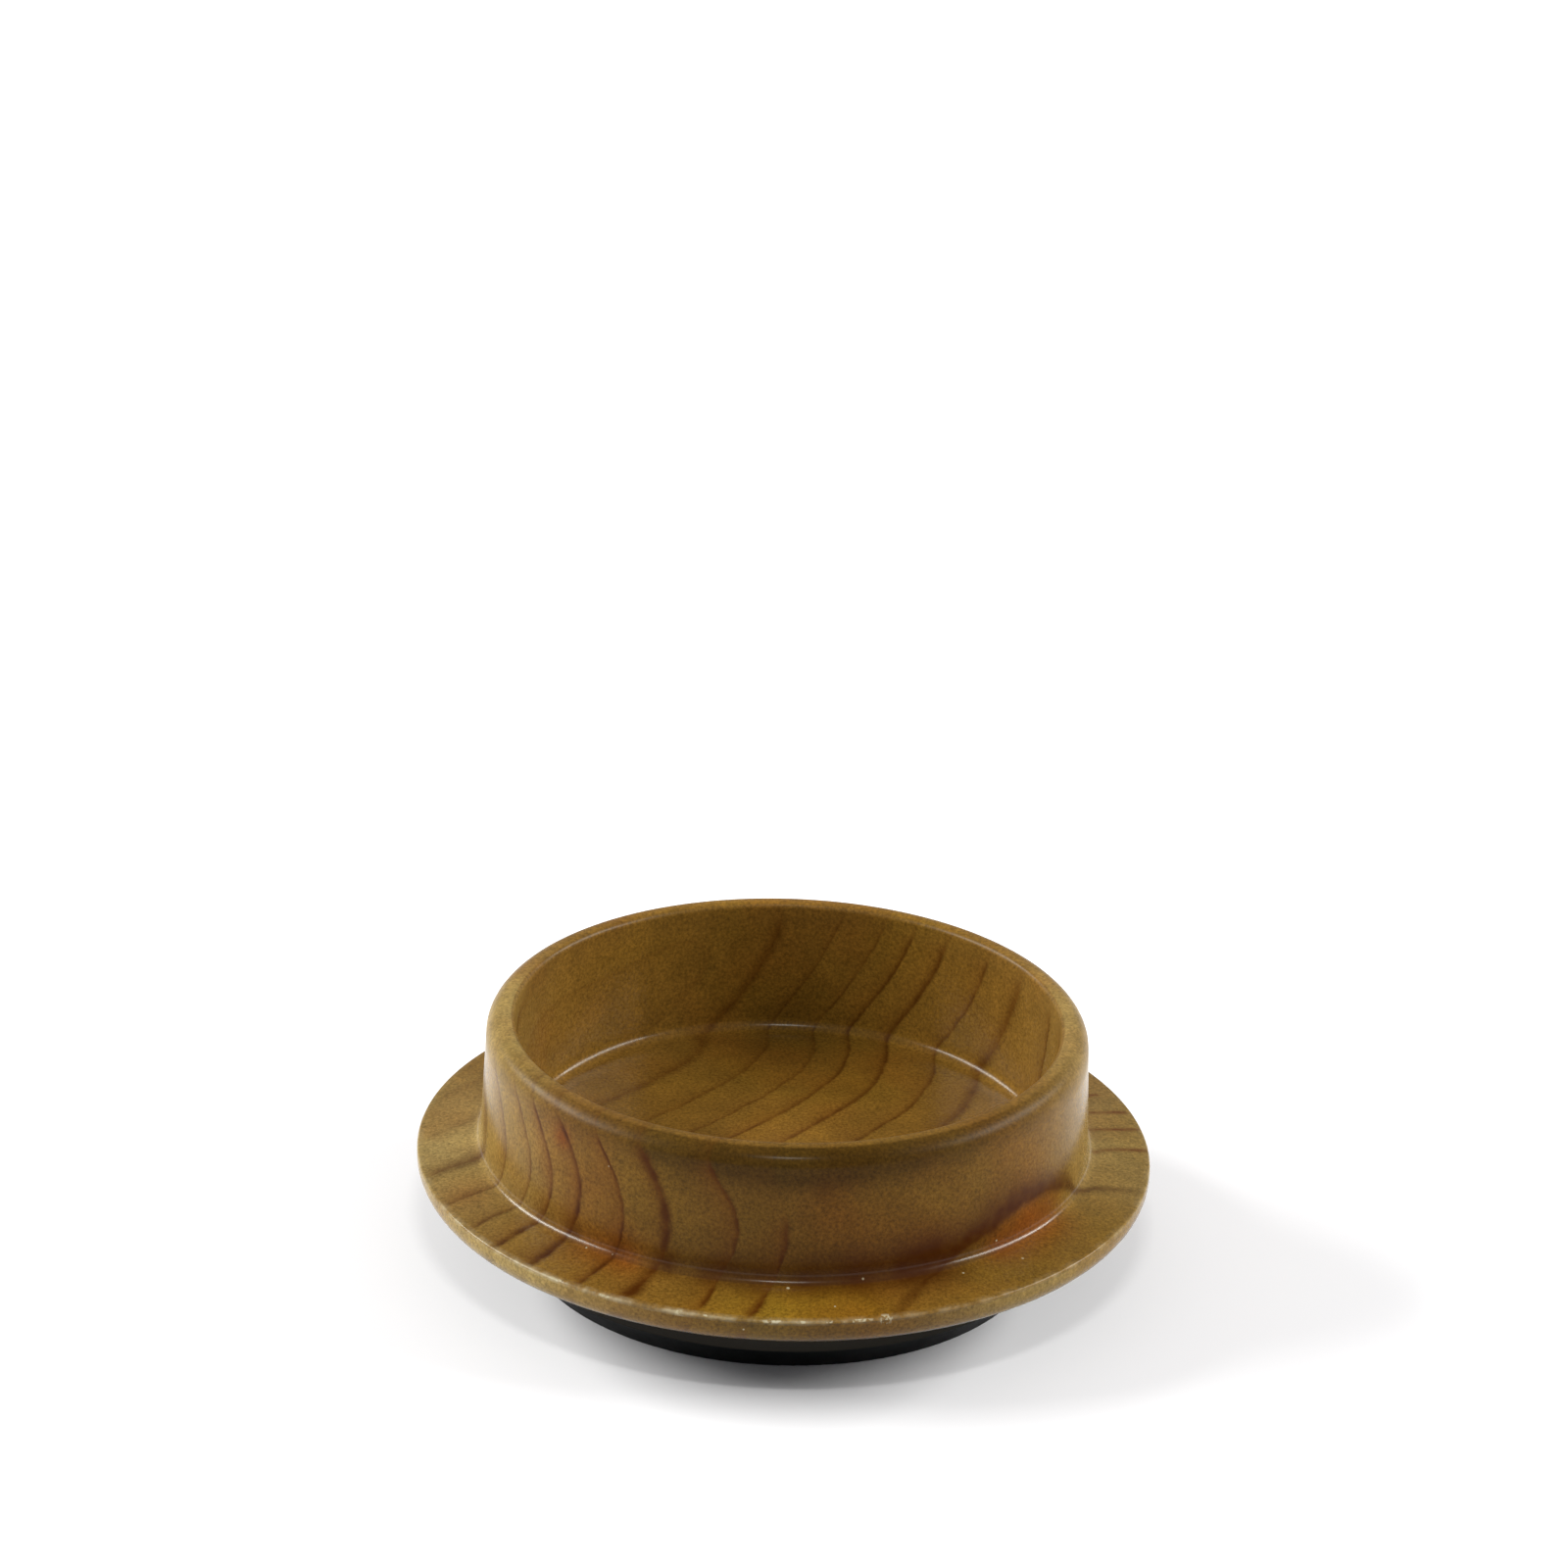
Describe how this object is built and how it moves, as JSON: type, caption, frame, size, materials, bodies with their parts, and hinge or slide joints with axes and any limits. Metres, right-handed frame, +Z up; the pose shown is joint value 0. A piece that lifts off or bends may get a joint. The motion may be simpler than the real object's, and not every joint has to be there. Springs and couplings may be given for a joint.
{
  "type": "castor cup",
  "caption": "Round furniture castor cup: a wood-look moulded cup with a wide brim and a rounded rim, on a black rubber base that keeps it from sliding.",
  "frame": {"origin": "centre of the rubber base's underside, on the floor", "axes": "+Z up along the cup's own axis; -Y is the side that faces the picture's camera"},
  "size_m": [0.082, 0.082, 0.0281],
  "materials": {
    "wood_look": "printed wood grain under a clear gloss coat, chipped pale along the brim's edge",
    "black_rubber": "smooth satin moulded rubber"
  },
  "bodies": {
    "root": {"cup_shell": "wood_look", "rubber_base": "black_rubber"}
  },
  "joints": []
}
